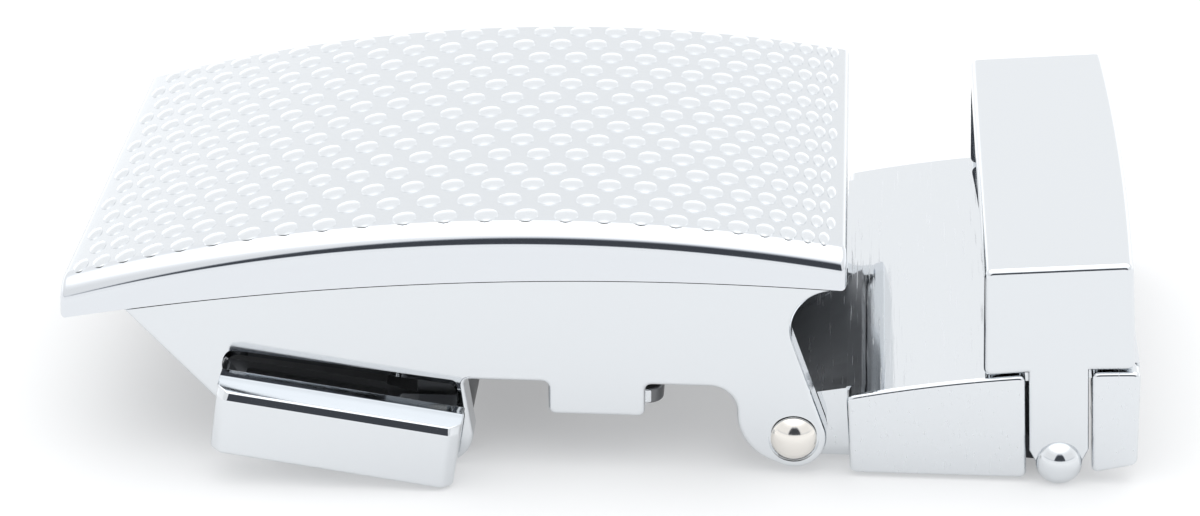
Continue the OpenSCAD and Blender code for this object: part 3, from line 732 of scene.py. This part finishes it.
# ---- Surface, light and camera
# A matt white table, faintly lit from within, in a white light tent: bright all round and brightest overhead and
# low behind the buckle. Lengths here are in metres.
# The tent's dark camera slit in front draws the thin dark lines along the rounded edges.
TABLE_HALF = 0.9
TABLE_CORNERS = [(x * TABLE_HALF, y * TABLE_HALF) for x, y in ((-1, -1), (1, -1), (1, 1), (-1, 1))]
table = skin([[(x, y, z) for x, y in TABLE_CORNERS] for z in (-0.01, 0)])
table.name = "table"
table_paint = bpy.data.materials.new("light table, matt white")
table_paint.use_nodes = True
shader = table_paint.node_tree.nodes["Principled BSDF"]
shader.inputs["Base Color"].default_value = surface_colour("#C4C4C4")
shader.inputs["Roughness"].default_value = 0.9
shader.inputs["Specular IOR Level"].default_value = 0.1
shader.inputs["Emission Color"].default_value = surface_colour("#FDFEFF")
shader.inputs["Emission Strength"].default_value = 0.38
table.data.materials.append(table_paint)

tent = bpy.data.worlds.new("light tent")
bpy.context.scene.world = tent
tent.use_nodes = True
tree = tent.node_tree
tree.nodes.clear()


def sum_of(operation, a, b=0.0):
    return add_node(tree, "ShaderNodeMath", {"operation": operation}, {0: a, 1: b}).outputs[0]


def ramp(value, a, b, low, high):
    return add_node(tree, "ShaderNodeMapRange", {"interpolation_type": "SMOOTHSTEP"},
                    {"Value": value, "From Min": a, "From Max": b, "To Min": low, "To Max": high}).outputs[0]


# All angles are in degrees: elevation above the table, and azimuth from straight in front of the buckle.
# The slit reaches up to a rounded top and is widest below; a fainter shade lies to both sides of it.
TENT_BRIGHTNESS = 1.13
SEEN_BRIGHTNESS = 1.1
SLIT_MIDDLE = 3.0
SLIT_HALF_WIDTH = 26.0
SLIT_RISE = 30.0
SLIT_FOOT = 12.0
SLIT_DARKNESS = 0.92
looked_at = add_node(tree, "ShaderNodeTexCoord").outputs["Generated"]
direction = add_node(tree, "ShaderNodeSeparateXYZ", {}, {0: looked_at}).outputs
elevation = sum_of("MULTIPLY", sum_of("ARCSINE", direction[2]), 180 / math.pi)
azimuth = sum_of("MULTIPLY", sum_of("ARCTAN2", direction[0], sum_of("MULTIPLY", direction[1], -1.0)), 180 / math.pi)
behind = ramp(sum_of("ABSOLUTE", azimuth), 80, 110, 0.0, 1.0)
low_glow = sum_of("MULTIPLY", behind, ramp(elevation, 18.5, 9, 0.0, 0.35))
overhead = ramp(elevation, 41, 59, 0.0, 0.62)
band = sum_of("MULTIPLY", ramp(elevation, 8, 12, 0.0, 1.0), ramp(elevation, 44, 32, 0.0, 1.0))
aside = sum_of("DIVIDE", sum_of("SUBTRACT", azimuth, SLIT_MIDDLE), SLIT_HALF_WIDTH)
peak = sum_of("MAXIMUM", sum_of("SUBTRACT", 1.0, sum_of("POWER", sum_of("ABSOLUTE", aside), 4.0)), 0.0)
above_slit = sum_of("SUBTRACT", elevation, sum_of("ADD", sum_of("MULTIPLY", peak, SLIT_RISE), SLIT_FOOT))
window = sum_of("MULTIPLY", ramp(elevation, 8, 12, 0.0, 1.0), ramp(above_slit, 4, -8, 0.0, 1.0))
window = sum_of("MULTIPLY", window, ramp(sum_of("ABSOLUTE", azimuth), 90, 60, 0.0, 1.0))
shade = sum_of("MULTIPLY", band, ramp(sum_of("ABSOLUTE", azimuth), 90, 60, 0.0, 0.12))
slit = sum_of("SUBTRACT", 1.0, sum_of("MULTIPLY", sum_of("MAXIMUM", window, shade), SLIT_DARKNESS))
light = sum_of("MULTIPLY", sum_of("ADD", sum_of("ADD", TENT_BRIGHTNESS, low_glow), overhead), slit)
seen = add_node(tree, "ShaderNodeLightPath").outputs["Is Camera Ray"]
strength = mixed(tree, seen, "FLOAT", light, SEEN_BRIGHTNESS)
hue = mixed(tree, window, "RGBA", surface_colour("#FDFEFF"), surface_colour("#DCE4F4"))
glow = add_node(tree, "ShaderNodeBackground", {}, {"Color": hue, "Strength": strength}).outputs[0]
add_node(tree, "ShaderNodeOutputWorld", {}, {"Surface": glow})

lamp = bpy.data.lights.new("soft box", "AREA")
lamp.shape = "RECTANGLE"
lamp.size = 0.5
lamp.size_y = 0.5
lamp.energy = 0.3
soft_box = bpy.data.objects.new("soft box", lamp)
soft_box.location = (0, 0.12, 0.5)
soft_box.rotation_euler = (math.radians(-12), 0, 0)
bpy.context.scene.collection.objects.link(soft_box)

lens = bpy.data.cameras.new("camera")
lens.sensor_fit = "HORIZONTAL"
lens.sensor_width = 36
lens.lens = 113.1
lens.clip_start = 0.01
camera = bpy.data.objects.new("camera", lens)
camera.location = (0.0262, -0.260, 0.129)
camera.rotation_euler = (math.radians(65), 0, math.radians(3.7))
bpy.context.scene.collection.objects.link(camera)
bpy.context.scene.camera = camera
bpy.context.scene.view_settings.view_transform = "Standard"
